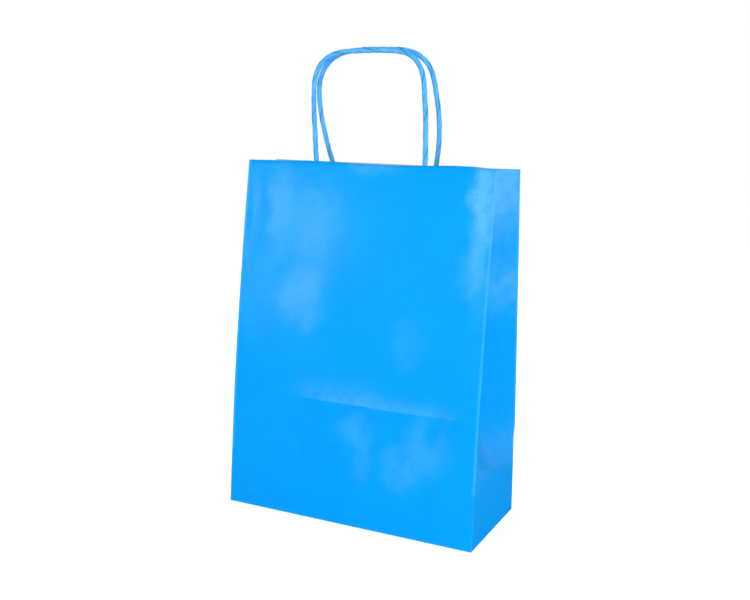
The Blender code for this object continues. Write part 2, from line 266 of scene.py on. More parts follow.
def cord_paper():
    """Blue paper rolled and twisted hard, so its fibres and fine wrinkles wind round the cord. Its colour
    has painted light on the raised wrinkles and painted shade in the sunk ones and the groove.
    """
    material, tree, shader = new_material("blue_twisted_paper")
    place = object_place(tree)
    # groove: where painted shade darkens the strip's groove
    groove = read_values(tree, "groove")
    winding = read_values(tree, "winding", "Vector")
    wrinkles = add_noise(tree, winding, scale=1.0, detail=4.0, roughness=0.6, distortion=0.3)
    clouds = add_noise(tree, place, scale=60.0, detail=3.0, roughness=0.5)
    grain = add_noise(tree, place, scale=1500.0, detail=3.0, roughness=0.6)

    tone = mix_colour(tree, remap(tree, clouds, (0.35, 0.65), (0.0, 1.0)), CORD_BLUE, CORD_BLUE_CLOUD)
    # Painted light on the raised wrinkles, and painted shade in the sunk ones and the groove
    tone = mix_colour(tree, remap(tree, wrinkles, (0.45, 0.72), (0.0, 0.6)), tone, CORD_BLUE_PAINTED_LIGHT)
    tone = mix_colour(tree, remap(tree, wrinkles, (0.24, 0.44), (0.45, 0.0)), tone, CORD_BLUE_PAINTED_SHADE)
    tone = mix_colour(tree, math_node(tree, "MULTIPLY", groove, GROOVE_SHADE), tone, CORD_BLUE_GROOVE_PAINTED_SHADE)
    tree.links.new(tone, shader.inputs["Base Color"])
    tree.links.new(remap(tree, wrinkles, (0.3, 0.7), (0.62, 0.46)), shader.inputs["Roughness"])
    shader.inputs["Specular IOR Level"].default_value = CORD_SPECULAR
    bump_chain(tree, shader, [(wrinkles, 0.45, 0.0004), (grain, 0.2, 0.00006)])
    return material


# The sheet's plain form, as in the part

def smooth_step(value):
    value = min(max(value, 0.0), 1.0)
    return value * value * (3 - 2 * value)


def side_y(side):
    return -1.0 if side == "front" else 1.0


def paper_height(place):
    """A place's height, measured along the leaning paper."""
    return place.z * PANEL_HEIGHT / TOP_Z


def panel_half_depth(side, height):
    """How far a panel stands from the middle plane, at a height along its paper."""
    share = height / PANEL_HEIGHT
    crease = PANEL_CREASE[side]
    if height < crease:
        ridge = height / crease
    else:
        ridge = (PANEL_HEIGHT - height) / (PANEL_HEIGHT - crease)
    straight = HALF_DEPTH + (HALF_MOUTH - HALF_DEPTH) * share
    return straight + PANEL_BULGE * math.sin(math.pi * share) + CREASE_RIDGE * ridge


def panel_point(side, x, height, depth=0.0):
    y = side_y(side) * (panel_half_depth(side, height) - depth)
    return Vector((x, y, TOP_Z * height / PANEL_HEIGHT))


def panel_normal(side, height):
    """The way a panel's plain form faces."""
    low = panel_point(side, 0.0, max(height - NORMAL_STEP, 0.0))
    high = panel_point(side, 0.0, min(height + NORMAL_STEP, PANEL_HEIGHT))
    up = (high - low).normalized()
    return up.cross(Vector((side_y(side), 0.0, 0.0)))


def folded_inset():
    """How far in the centre fold would stand at the bottom, if it stayed folded all the way down."""
    lean_sin = (HALF_DEPTH - HALF_MOUTH) / PANEL_HEIGHT
    lean_cos = TOP_Z / PANEL_HEIGHT
    across_y = 1 - lean_sin
    across_z = -across_y * lean_sin / lean_cos
    return HALF_DEPTH * math.sqrt(1 - across_y ** 2 - across_z ** 2)


def gusset_apex():
    """Where the two bottom diagonals of the +X gusset meet its centre fold, squared out by the bottom."""
    return Vector((HALF_WIDTH - APEX_INSET, 0.0, APEX_HEIGHT))


def gusset_fold(height):
    """The centre fold of the +X gusset: it dives in above the squared bottom, then runs straight up."""
    share = (height - HALF_DEPTH) / (PANEL_HEIGHT - HALF_DEPTH)
    z = APEX_HEIGHT + (TOP_Z - APEX_HEIGHT) * share
    inset = folded_inset()
    top_inset = math.sqrt(HALF_DEPTH ** 2 - HALF_MOUTH ** 2)
    straight = inset + (top_inset - inset) * share
    held_out = (inset - APEX_INSET) * math.exp((APEX_HEIGHT - z) / FOLD_SETTLE)
    return Vector((HALF_WIDTH - straight + held_out, 0.0, z))


def side_crease_z(place):
    """The height of a gusset's bottom crease at a place across it."""
    across = min(abs(place.y) / HALF_DEPTH, 1.0)
    return APEX_HEIGHT + (SIDE_CREASE["back" if place.y > 0 else "front"] - APEX_HEIGHT) * across


def own_height(side, height):
    """A row's height on a panel: the rows below a gusset's crease end at that panel's end of it."""
    crease = SIDE_CREASE[side]
    if height <= HALF_DEPTH:
        return height * crease / HALF_DEPTH
    if side == "back":
        return crease + (height - HALF_DEPTH) * (PANEL_HEIGHT - crease) / (PANEL_HEIGHT - HALF_DEPTH)
    if height >= FRONT_CREASE:
        return height
    return crease + (height - HALF_DEPTH) * (FRONT_CREASE - crease) / (FRONT_CREASE - HALF_DEPTH)


# Soft waves in the panels. Each is (x, height, spread along x, spread along the height, turn, lean):
# round its middle the paper turns towards +X by the turn, and leans back by the lean, both in radians.
FRONT_WAVES = (
    (-0.085, 0.232, 0.028, 0.040, -0.040, 0.030),
    (-0.052, 0.186, 0.024, 0.020, -0.050, 0.060),
    (0.104, 0.228, 0.019, 0.058, 0.110, 0.010),
    (-0.007, 0.080, 0.010, 0.016, -0.060, 0.100),
    (0.014, 0.066, 0.010, 0.024, -0.060, 0.110),
    (0.046, 0.052, 0.011, 0.022, -0.080, 0.110),
    (0.076, 0.066, 0.013, 0.030, -0.100, 0.110),
)
BACK_WAVES = (
    (0.045, 0.210, 0.034, 0.040, 0.030, 0.020),
    (-0.058, 0.150, 0.028, 0.036, -0.030, 0.020),
    (0.012, 0.095, 0.040, 0.020, 0.010, 0.030),
    (-0.070, 0.240, 0.026, 0.026, -0.020, 0.020),
)
PANEL_WAVES = {"front": FRONT_WAVES, "back": BACK_WAVES}
WAVE_FADE = 0.009
FOOT_WAVE_FADE = 3 * WAVE_FADE
RIPPLE_SIZE = 0.055
RIPPLE_DEPTH = 0.0005

# Where a handle's patch is glued behind it, a panel lies flatter, and shows the cords' legs faintly
GLUED_HEIGHT = PANEL_HEIGHT - PATCH_DROP - PATCH_HEIGHT
GLUED_FADE = 0.022
GLUED_STIFFNESS = 0.85
CORD_IMPRINT = 0.00018
CORD_IMPRINT_SPREAD = 0.0035

# The pressed line of a panel's bottom crease
CREASE_BAND = 0.0007
CREASE_BAND_SPREAD = 0.007
CREASE_GROOVE = 0.00022
CREASE_GROOVE_SPREAD = 0.0008
CREASE_FAINTEST = 0.15
CREASE_SEEN_TO = 0.080
CREASE_SEEN_FADE = 0.014

# The gussets: soft ripples, the ridge of the bottom crease, and a centre fold that is soft low down.
# They are made for the +X side, which faces outward, and mirrored for the other.
OUTWARD = Vector((1.0, 0.0, 0.0))
GUSSET_RIPPLE_DEPTH = 2.2 * RIPPLE_DEPTH
GUSSET_RIPPLE_ACROSS = 1.3
GUSSET_RIPPLES_APART = 3.1
GUSSET_EDGE_SHARE = 0.25
GUSSET_WAVE_FADE = 2 * WAVE_FADE
GUSSET_RIDGE = 0.0005
RIDGE_SPREAD = 0.007
CORNER_FADE = 0.012
SOFT_FOLD_REACH = 0.030

# The back's seam: its edge is a step, and its lap fades out into the bottom fold
SEAM_STEP = 0.0002
SEAM_ROOM = 0.0006
SEAM_RISE = 0.004


def glued_share(x, height):
    """1 where the handle's patch is glued behind the panel, fading to 0 round it."""
    across = smooth_step((PATCH_WIDTH / 2 + GLUED_FADE - abs(x)) / GLUED_FADE)
    return across * smooth_step((height - GLUED_HEIGHT + GLUED_FADE) / GLUED_FADE)


def cord_imprint(side, x, height):
    """The faint ridges that the cords' glued legs press into the panel."""
    low = GLUED_HEIGHT + CORD_END_MARGIN
    along = smooth_step((height - low) / CORD_IMPRINT_SPREAD + 1)
    legs = 0.0
    for leg_x in (FOOT_CENTRE[side] - LEG_PITCH / 2, FOOT_CENTRE[side] + LEG_PITCH / 2):
        legs += math.exp(-((x - leg_x) / CORD_IMPRINT_SPREAD) ** 2)
    return CORD_IMPRINT * legs * along


def panel_wave(side, x, height):
    """How far the paper stands out of its plain form, fading to nothing at its folds."""
    lift = RIPPLE_DEPTH * noise.noise(Vector((x, side_y(side), height)) / RIPPLE_SIZE)
    for middle_x, middle_height, spread_x, spread_height, turn, lean in PANEL_WAVES[side]:
        off_x = (x - middle_x) / spread_x
        off_height = (height - middle_height) / spread_height
        slope = turn * off_x * spread_x + lean * off_height * spread_height
        lift -= slope * math.exp(-off_x ** 2 - off_height ** 2)
    fade = smooth_step((HALF_WIDTH - abs(x)) / WAVE_FADE) * smooth_step(height / FOOT_WAVE_FADE)
    return lift * fade * (1 - GLUED_STIFFNESS * glued_share(x, height)) + cord_imprint(side, x, height)


def crease_seen(x):
    """How plainly a panel's bottom crease shows: it fades towards the left, and near the right fold."""
    from_left = smooth_step((x + HALF_WIDTH / 2) / (HALF_WIDTH / 2))
    return from_left * smooth_step((CREASE_SEEN_TO - x) / CREASE_SEEN_FADE)


def panel_crease(side, x, height):
    """The pressed line across a panel: a soft ridge with a fine groove just below its top."""
    off = height - PANEL_CREASE[side]
    off_groove = (off + CREASE_GROOVE_SPREAD) / CREASE_GROOVE_SPREAD
    ends = smooth_step((HALF_WIDTH - abs(x)) / WAVE_FADE)
    height_share = CREASE_FAINTEST + (1 - CREASE_FAINTEST) * crease_seen(x)
    ridge = CREASE_BAND * height_share * math.exp(-abs(off) / CREASE_BAND_SPREAD)
    groove = CREASE_GROOVE * height_share * math.exp(-off_groove ** 2)
    return (ridge - groove) * ends


def seam_lift(x, height):
    """How far the lapped seam lifts the back panel."""
    return PAPER * (HALF_WIDTH - x) / SEAM_LAP * smooth_step(height / SEAM_RISE)


def gusset_wave(share, height, hand):
    """A little life in the gusset halves, fading to nothing at their folds."""
    spot = Vector((share * GUSSET_RIPPLE_ACROSS, hand * GUSSET_RIPPLES_APART, height / RIPPLE_SIZE))
    near_fold = smooth_step(min(share, 1 - share) / GUSSET_EDGE_SHARE)
    near_foot = smooth_step((height - HALF_DEPTH) / GUSSET_WAVE_FADE)
    return GUSSET_RIPPLE_DEPTH * noise.noise(spot) * (near_fold * near_foot)


def gusset_relief(place, edge_y):
    """How far the paper stands out along a gusset's crease."""
    clear = smooth_step((abs(edge_y) - abs(place.y)) / CORNER_FADE)
    return GUSSET_RIDGE * math.exp(-abs(place.z - side_crease_z(place)) / RIDGE_SPREAD) * clear


# The corners don't stand quite square. Each is (hand, side, shift along X at the mouth, shift
# along X of the foot, shift along Z at the mouth). The foot's shift fades out up to FOOT_TOP.
CORNER_SHIFTS = (
    (-1.0, -1.0, 0.0017, 0.0, 0.0007),
    (1.0, -1.0, -0.0012, 0.0, 0.0004),
    (1.0, 1.0, 0.0021, -0.0009, -0.0008),
)
FOOT_TOP = 0.077
FOOT_FADE = 0.014
# The front's rim bows up a little in two places, as (x, half width, rise)
RIM_BOWS = (
    (-0.045, 0.034, 0.0009),
    (0.078, 0.026, 0.0014),
)
RIM_FADE = 0.020


def settle(place):
    """A place on the sheet, moved by the bag's slight unevenness at its corners, foot and front rim."""
    share = min(max(place.z / TOP_Z, 0.0), 1.0)
    half_depth = HALF_DEPTH + (HALF_MOUTH - HALF_DEPTH) * share
    moved = Vector(place)
    in_foot = smooth_step((FOOT_TOP - place.z) / FOOT_FADE)
    for hand, side, mouth_x, foot_x, mouth_z in CORNER_SHIFTS:
        near_x = smooth_step(place.x * hand / HALF_WIDTH)
        near_y = smooth_step((place.y * side / half_depth + 1) / 2)
        moved.x += (mouth_x * share ** 2 + foot_x * in_foot) * near_x * near_y
        moved.z += mouth_z * share ** 3 * smooth_step(place.x * hand / HALF_WIDTH / 2 + 0.5) * near_y
    near_front = smooth_step((1 - place.y / half_depth) / 2)
    clear_of_corner = smooth_step((HALF_WIDTH - abs(place.x)) / RIM_FADE)
    for middle_x, half_width, rise in RIM_BOWS:
        bow = math.exp(-((place.x - middle_x) / half_width) ** 2)
        moved.z += rise * bow * share ** 3 * near_front * clear_of_corner
    return moved


# Wear: along lines the print is worn paler, by a strength up to 1. A panel's upright folds are worn
# only above WORN_FROM; there the pale line is worn print and a painted highlight of the rounded edge.
WORN_WIDTH = 0.0009
WORN_REACH = 3 * WORN_WIDTH
WORN_SPACING = 0.001
WORN_FROM = 0.047
EDGE_WEAR_AND_HIGHLIGHT = 1.0
CENTRE_WEAR = 0.3
FOOT_WEAR = 0.15
CREASE_WEAR = 0.2
CREASE_WORN_FROM = 0.3
SIDE_CREASE_WEAR = 0.15
SEAM_WEAR = 0.35

# Painted highlights on the front: paler print laid where the paper's reflections show, as (x, height, half
# width, half height, strength)
FRONT_PAINTED_HIGHLIGHTS = (
    (-0.075, 0.254, 0.012, 0.034, 0.62),
    (-0.041, 0.244, 0.025, 0.029, 0.42),
    (-0.050, 0.180, 0.022, 0.024, 0.55),
    (-0.097, 0.250, 0.007, 0.026, 0.22),
    (0.009, 0.288, 0.024, 0.006, 0.42),
    (0.101, 0.264, 0.010, 0.036, 1.40),
    (0.098, 0.213, 0.011, 0.020, 0.42),
    (0.048, 0.153, 0.013, 0.020, 0.17),
    (0.007, 0.080, 0.016, 0.013, 0.28),
    (0.014, 0.054, 0.009, 0.016, 0.26),
    (0.046, 0.053, 0.014, 0.018, 0.34),
    (0.068, 0.074, 0.018, 0.023, 0.32),
)
# The painted highlight band above the front crease, as (x, half width, how far up, strength)
CREASE_PAINTED_HIGHLIGHTS = (
    (-0.010, 0.036, 0.014, 0.42),
    (0.045, 0.042, 0.008, 0.42),
)
# The painted highlight bands across a gusset, as (height, spread, strength)
GUSSET_PAINTED_HIGHLIGHTS = (
    (0.290, 0.038, 1.5),
    (0.197, 0.018, 0.66),
    (0.062, 0.014, 0.20),
)
ON_PANEL_DEPTH = 0.0008
MOST_PAINTED_HIGHLIGHT = 1.5

# The painted highlights' ragged edges. Without the seed, noise_vector would differ from run to run.
RAGGED_SCALE = 70.0
RAGGED_REACH = 0.006
RAGGED_SEED = 7

# Dull paper: all of a gusset below its crease, fading above it. A wedge above the crease is as dull
# as the paper below: it starts at the front fold and fades out a little past the middle.
DULL_EDGE = 0.0015
DULL_REACH = 0.075
DULL_ABOVE = 0.45
WEDGE_HEIGHT = 0.014
WEDGE_END = 0.1
WEDGE_FADE = 0.6


def on_panel(place):
    """1 on the front and back panels, 0 on the gussets and the base."""
    side = "front" if place.y < 0 else "back"
    height = min(max(paper_height(place), 0.0), PANEL_HEIGHT)
    inwards = panel_half_depth(side, height) - abs(place.y)
    return smooth_step(2 - inwards / ON_PANEL_DEPTH)


def painted_highlight_strength(place):
    """How strongly the painted highlight shows at a place on the sheet. Its patches have ragged edges."""
    panel = on_panel(place)
    ragged = noise.noise_vector(place * RAGGED_SCALE) * RAGGED_REACH
    x = place.x + ragged.x
    height = paper_height(place) + ragged.z
    painted_highlight = 0.0
    if place.y < 0:
        for middle_x, middle_height, half_width, half_height, strength in FRONT_PAINTED_HIGHLIGHTS:
            off = ((x - middle_x) / half_width) ** 2 + ((height - middle_height) / half_height) ** 2
            painted_highlight += strength * math.exp(-off * off) * panel
        above = paper_height(place) - FRONT_CREASE
        for middle_x, half_width, reach, strength in CREASE_PAINTED_HIGHLIGHTS:
            off = ((x - middle_x) / half_width) ** 2
            band = math.exp(-(above / reach) ** 2) if above > 0 else 0.0
            painted_highlight += strength * band * math.exp(-off * off) * panel
    for middle_height, spread, strength in GUSSET_PAINTED_HIGHLIGHTS:
        painted_highlight += strength * math.exp(-((height - middle_height) / spread) ** 2) * (1 - panel)
    return min(painted_highlight, MOST_PAINTED_HIGHLIGHT)


def dull_strength(place):
    """How dull the paper is at a place on the sheet."""
    above = place.z - side_crease_z(place)
    below = smooth_step(1 - above / DULL_EDGE)
    near = smooth_step(1 - above / DULL_REACH)
    by_fold = smooth_step((WEDGE_END - place.y / HALF_DEPTH) / WEDGE_FADE)
    wedge = by_fold * smooth_step(2 - above / WEDGE_HEIGHT)
    amount = max(below, (DULL_ABOVE + (1 - DULL_ABOVE) * wedge) * near)
    return amount * (1 - on_panel(place))


def wear_strengths(mesh, worn):
    """How worn the print is at each of the mesh's points, from the worn lines near it. On the upright panel
    folds this paleness is also a painted highlight.
    """
    tree = KDTree(len(worn))
    for index, (place, amount) in enumerate(worn):
        tree.insert(place, index)
    tree.balance()
    strengths = []
    for corner in mesh.vertices:
        found = tree.find_range(corner.co, WORN_REACH)
        marks = [worn[index][1] * math.exp(-(gap / WORN_WIDTH) ** 2) for place, index, gap in found]
        strengths.append(max(marks, default=0.0))
    return strengths


# Building the sheet

class Sheet:
    """Collects the sheet's points and faces, and joins the points that coincide."""

    def __init__(self):
        self.points = []
        self.places = {}
        self.faces = []
        self.folds = set()
        self.worn = []

    def point(self, place):
        """The number of the point at a place. Places that round to the same micrometre share one."""
        key = tuple(round(value * MICROMETRES) for value in place)
        if key not in self.places:
            self.places[key] = len(self.points)
            self.points.append(settle(place))
        return self.places[key]

    def face(self, corners):
        kept = []
        for corner in corners:
            if corner not in kept:
                kept.append(corner)
        if len(kept) > 2:
            self.faces.append(tuple(kept))

    def grid(self, rows):
        """Faces between rows of points, each row a list of places of the same length."""
        index = [[self.point(place) for place in row] for row in rows]
        for low, high in zip(index, index[1:]):
            for column in range(len(low) - 1):
                self.face((low[column], low[column + 1], high[column + 1], high[column]))
        return index

    def fold(self, line):
        """Points, in order, that lie on a hard fold."""
        for start, end in zip(line, line[1:]):
            if start != end:
                self.folds.add(tuple(sorted((start, end))))

    def wear(self, places, amount):
        """A line along which the print is worn. Along the upright panel folds the pale line is also a
        painted highlight.
        """
        for start, end in zip(places, places[1:]):
            count = max(1, round((end - start).length / WORN_SPACING))
            self.worn += [(settle(start.lerp(end, step / count)), amount) for step in range(count + 1)]


def row_heights(marks):
    """Rows between the marks, closer together just above and below each inner one."""
    heights = set(marks)
    for low, high in zip(marks, marks[1:]):
        count = max(1, round((high - low) / ROW_SPACING))
        heights.update(low + (high - low) * step / count for step in range(1, count))
    for mark in marks[1:-1]:
        for gap in CREASE_ROWS:
            heights.update((mark - gap, mark + gap))
    return sorted(heights)


def add_panel(sheet, side, heights, columns):
    """The front or back panel, with its crease. The back one has the lapped seam too."""
    is_back = side == "back"
    seam_x = HALF_WIDTH - SEAM_LAP
    stations = columns
    if is_back:
        stations = [x for x in columns if abs(x - seam_x) > SEAM_ROOM]
        stations = sorted(stations + [seam_x - SEAM_STEP, seam_x])
    rows = []
    for height in heights:
        own = own_height(side, height)
        facing = panel_normal(side, own)
        row = []
        for x in stations:
            lift = panel_wave(side, x, own) + panel_crease(side, x, own)
            if is_back and x >= seam_x:
                lift += seam_lift(x, own)
            row.append(panel_point(side, x, own) + facing * lift)
        rows.append(row[::-1] if is_back else row)
    index = sheet.grid(rows)
    sheet.fold(index[0])
    sheet.wear(rows[0], FOOT_WEAR)
    for column in (0, -1):
        sheet.fold([row[column] for row in index])
        # The upright folds' pale line: worn print and a painted highlight of the rounded edge
        sheet.wear([row[column] for row in rows if row[column].z > WORN_FROM], EDGE_WEAR_AND_HIGHLIGHT)
    crease = rows[heights.index(HALF_DEPTH if is_back else FRONT_CREASE)]
    sheet.wear([place for place in crease if crease_seen(place.x) > CREASE_WORN_FROM], CREASE_WEAR)
    if is_back:
        seam = len(stations) - 1 - stations.index(seam_x)
        sheet.wear([row[seam] for row in rows], SEAM_WEAR)


def add_gusset_half(sheet, hand, side, heights):
    """Half a gusset, from its panel's edge to the centre fold, or to a bottom diagonal below the crease."""
    crease_row = heights.index(HALF_DEPTH)
    flip = Vector((hand, 1.0, 1.0))
    foot = Vector((HALF_WIDTH, side_y(side) * HALF_DEPTH, 0.0))
    rows = []
    for height in heights:
        edge = panel_point(side, HALF_WIDTH, own_height(side, height))
        if height <= HALF_DEPTH:
            inner = foot.lerp(gusset_apex(), height / HALF_DEPTH)
        else:
            inner = gusset_fold(height)
        facing = (inner - edge).cross(Vector((0.0, 0.0, 1.0))).normalized() * side_y(side)
        soft = math.exp(-max(inner.z - APEX_HEIGHT, 0.0) / SOFT_FOLD_REACH)
        row = []
        for step in range(GUSSET_COLUMNS + 1):
            share = step / GUSSET_COLUMNS
            place = edge.lerp(inner, share)
            rounded = math.sin(math.pi / 2 * share) - share
            place.x += (inner.x - edge.x) * rounded * soft
            if height > HALF_DEPTH:
                place += facing * gusset_wave(share, height, hand * side_y(side))
            place += OUTWARD * gusset_relief(place, edge.y)
            row.append(place * flip)
        rows.append(row)
    turned = (side == "front") == (hand > 0)
    index = sheet.grid(rows if turned else [row[::-1] for row in rows])
    sheet.fold([row[-1 if turned else 0] for row in index[crease_row:]])
    sheet.wear([row[-1] for row in rows[crease_row:]], CENTRE_WEAR)
    sheet.wear(rows[crease_row], SIDE_CREASE_WEAR)


def add_gusset_foot(sheet, hand, heights):
    """The triangle of a gusset between its two bottom diagonals and the bottom fold."""
    flip = Vector((hand, 1.0, 1.0))
    rows = []
    for height in heights[:heights.index(HALF_DEPTH) + 1]:
        share = height / HALF_DEPTH
        start = Vector((HALF_WIDTH, -HALF_DEPTH, 0.0)).lerp(gusset_apex(), share)
        end = Vector((HALF_WIDTH, HALF_DEPTH, 0.0)).lerp(gusset_apex(), share)
        row = []
        for step in range(TRIANGLE_COLUMNS + 1):
            place = start.lerp(end, step / TRIANGLE_COLUMNS)
            place += OUTWARD * gusset_relief(place, HALF_DEPTH)
            row.append(place * flip)
        rows.append(row if hand > 0 else row[::-1])
    index = sheet.grid(rows)
    sheet.fold(index[0])
    sheet.wear(rows[0], FOOT_WEAR)


def add_base(sheet, columns):
    """The underside: two lapped flaps over a folded triangle at each end."""
    tip_x = HALF_WIDTH - HALF_DEPTH
    lap_x = tip_x - BASE_OVERLAP
    rise = PAPER / (HALF_DEPTH - BASE_OVERLAP)

    def line(y, half, z):
        return [Vector((half * (2 * step / PANEL_COLUMNS - 1), y, z)) for step in range(PANEL_COLUMNS + 1)]

    front_edge = [Vector((x, -HALF_DEPTH, 0.0)) for x in columns]
    back_edge = [Vector((x, HALF_DEPTH, 0.0)) for x in columns]
    under = line(-BASE_OVERLAP, tip_x - BASE_OVERLAP, PAPER)
    lap = line(-BASE_OVERLAP, lap_x, 0.0)
    middle = line(0.0, tip_x, 0.0)
    for rows in ((front_edge, under), (under, lap), (lap, middle, back_edge)):
        sheet.grid([row[::-1] for row in rows])
    for hand in (1.0, -1.0):
        tip_low = Vector((hand * tip_x, 0.0, 0.0))
        tip_mid = Vector((hand * tip_x, 0.0, HALF_DEPTH * rise))
        tip_top = Vector((hand * tip_x, 0.0, 2 * PAPER))
        lap_end = lap[-1] if hand > 0 else lap[0]
        under_end = under[-1] if hand > 0 else under[0]
        front = Vector((hand * HALF_WIDTH, -HALF_DEPTH, 0.0))
        back = Vector((hand * HALF_WIDTH, HALF_DEPTH, 0.0))
        base_edge = [front.lerp(back, step / TRIANGLE_COLUMNS) for step in range(TRIANGLE_COLUMNS + 1)]
        faces = [(front, under_end, tip_mid), (under_end, lap_end, tip_low), (under_end, tip_low, tip_mid)]
        faces += [(tip_low, back, tip_mid), (tip_mid, back, tip_top), (front, tip_mid, tip_top)]
        faces += [(start, tip_top, end) for start, end in zip(base_edge, base_edge[1:])]
        for face in faces:
            corners = [sheet.point(place) for place in face]
            sheet.face(corners if hand > 0 else corners[::-1])


def build_sheet():
    """The printed sheet's outer face, as folded: two panels, two gussets and the block bottom."""
    sheet = Sheet()
    heights = row_heights((0.0, HALF_DEPTH, FRONT_CREASE, PANEL_HEIGHT))
    columns = [-HALF_WIDTH + 2 * HALF_WIDTH * step / PANEL_COLUMNS for step in range(PANEL_COLUMNS + 1)]
    for side in ("front", "back"):
        add_panel(sheet, side, heights, columns)
    for hand in (1.0, -1.0):
        for side in ("front", "back"):
            add_gusset_half(sheet, hand, side, heights)
        add_gusset_foot(sheet, hand, heights)
    add_base(sheet, columns)
    return sheet


def add_values(mesh, name, values):
    """Gives the mesh's points a number each, for its material to read."""
    mesh.attributes.new(name, "FLOAT", "POINT").data.foreach_set("value", np.array(values, np.float32))


def sheet_mesh(name, sheet):
    """A mesh of the sheet with its hard folds rounded, and its wear (on the upright folds also a painted
    highlight), painted highlights and dullness at each point.
    """
    build = bmesh.new()
    corners = [build.verts.new(place) for place in sheet.points]
    build.verts.index_update()
    for face in sheet.faces:
        build.faces.new([corners[index] for index in face])
    bmesh.ops.recalc_face_normals(build, faces=build.faces)
    base = min(build.faces, key=lambda face: face.calc_center_median().z)
    if base.normal.z > 0:
        bmesh.ops.reverse_faces(build, faces=build.faces)
    edges = {tuple(sorted(corner.index for corner in edge.verts)): edge for edge in build.edges}
    folds = [edges[key] for key in sorted(sheet.folds) if key in edges]
    bmesh.ops.bevel(build, geom=folds, offset=FOLD_RADIUS, segments=FOLD_SEGMENTS, profile=0.5,
                    affect="EDGES", offset_type="OFFSET", clamp_overlap=True)
    mesh = bpy.data.meshes.new(name)
    build.to_mesh(mesh)
    build.free()
    # Wear along the folds, on the upright panel folds also a painted highlight, for the material to read
    add_values(mesh, "fold", wear_strengths(mesh, sheet.worn))
    # Where the painted highlights lie, for the material to read
    add_values(mesh, "painted_highlight", [painted_highlight_strength(corner.co) for corner in mesh.vertices])
    add_values(mesh, "dull", [dull_strength(corner.co) for corner in mesh.vertices])
    return mesh


def add_object(name, data):
    item = bpy.data.objects.new(name, data)
    bpy.context.scene.collection.objects.link(item)
    return item


def make_bag():
    mesh = sheet_mesh("paper_bag", build_sheet())
    mesh.materials.append(printed_paper())
    mesh.materials.append(plain_paper("white_paper_inside", INSIDE_WHITE, INSIDE_SHADE))
    bag = add_object("paper_bag", mesh)
    solid = bag.modifiers.new("thickness", "SOLIDIFY")
    solid.thickness = PAPER
    solid.offset = -1.0
    solid.use_even_offset = True
    solid.material_offset = 1
    solid.material_offset_rim = 1
    mesh.shade_smooth()
    mesh.set_sharp_from_angle(angle=SHEET_SHARP)
    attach(bag, "root")
    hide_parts("bag_body")


# The twisted cords. The strip's lapped edge leaves a groove, and shallow wrinkles wind with it.
# Widths round the cord are shares of a turn.
GROOVE_DEPTH = 0.00016
GROOVE_WIDTH = 0.035
GROOVE_SHADE_WIDTH = 0.045
WRINKLE_DEPTH = 0.00008
WRINKLES_ROUND = 3
WRINKLE_SWAY = 0.15
WRINKLE_SWAYS_ALONG = 90.0
ROUGH_DEPTH = 0.00007
ROUGH_ROUND = 5.0
ROUGH_ALONG = 160.0
ROUGH_APART = 7.0
LAP_CLEAR = 0.125

# How far the cord's fine wrinkles run round it and along it, and how the two cords differ
FINE_ROUND = 9.0
FINE_ALONG = 42.0
FINE_APART = 4.0


def half_loop(side, squareness):
    """One leg and its half of the arch, upwards, as distance from the centre and rise."""
    foot = LEG_PITCH / 2
    belly = LOOP_WIDTH[side] / 2
    crown = LOOP_RISE[side] - BELLY_HEIGHT
    half = []
    for step in range(CURVE_STEPS):
        share = step / CURVE_STEPS
        half.append((foot + (belly - foot) * math.sin(math.pi / 2 * share), BELLY_HEIGHT * share))
    for step in range(CURVE_STEPS):
        angle = math.pi / 2 * step / CURVE_STEPS
        across = math.cos(angle) ** (2 / squareness)
        up = math.sin(angle) ** (2 / squareness)
        half.append((belly * across, BELLY_HEIGHT + crown * up))
    return half


def loop_outline(side):
    """The loop above the bag's edge, left foot to right foot, as distance from centre and rise."""
    left = [(-across, up) for across, up in half_loop(side, LEFT_SQUARENESS[side])]
    right = half_loop(side, RIGHT_SQUARENESS)
    return left + [(0.0, LOOP_RISE[side])] + right[::-1]


def handle_route(side):
    """The cord's centre line, from one end between the patches to the other."""
    edge = panel_point(side, 0.0, PANEL_HEIGHT, PAPER + CORD_DEPTH)
    below = panel_point(side, 0.0, PANEL_HEIGHT - PATCH_DROP, PAPER + CORD_DEPTH)
    lean = (edge.y - below.y) / (edge.z - below.z)
    rise = LOOP_RISE[side]
    top_y = side_y(side) * (CORD_REACH + LOOPS_APART / 2)
    curl = (top_y - edge.y - lean * rise) / rise ** 2
    foot_centre = FOOT_CENTRE[side]
    sway = TOP_CENTRE[side] - foot_centre
    loop = []
    for across, up in loop_outline(side):
        y = edge.y + lean * up + curl * up * up
        centre = foot_centre + sway * (y - edge.y) / (top_y - edge.y)
        loop.append(Vector((centre + across, y, edge.z + up)))
    end_height = GLUED_HEIGHT + CORD_END_MARGIN
    inside = []
    for step in range(CURVE_STEPS):
        height = end_height + (PANEL_HEIGHT - end_height) * step / CURVE_STEPS
        inside.append(panel_point(side, 0.0, height, PAPER + CORD_DEPTH))
    left = [Vector((foot_centre - LEG_PITCH / 2, point.y, point.z)) for point in inside]
    right = [Vector((foot_centre + LEG_PITCH / 2, point.y, point.z)) for point in reversed(inside)]
    return left + loop + right


def even_points(route, spacing):
    """The same route with its points evenly spaced."""
    lengths = [0.0]
    for start, end in zip(route, route[1:]):
        lengths.append(lengths[-1] + (end - start).length)
    count = max(2, round(lengths[-1] / spacing))
    points = []
    index = 0
    for step in range(count + 1):
        target = lengths[-1] * step / count
        while index < len(route) - 2 and lengths[index + 1] < target:
            index += 1
        stretch = lengths[index + 1] - lengths[index]
        points.append(route[index].lerp(route[index + 1], (target - lengths[index]) / stretch))
    return points


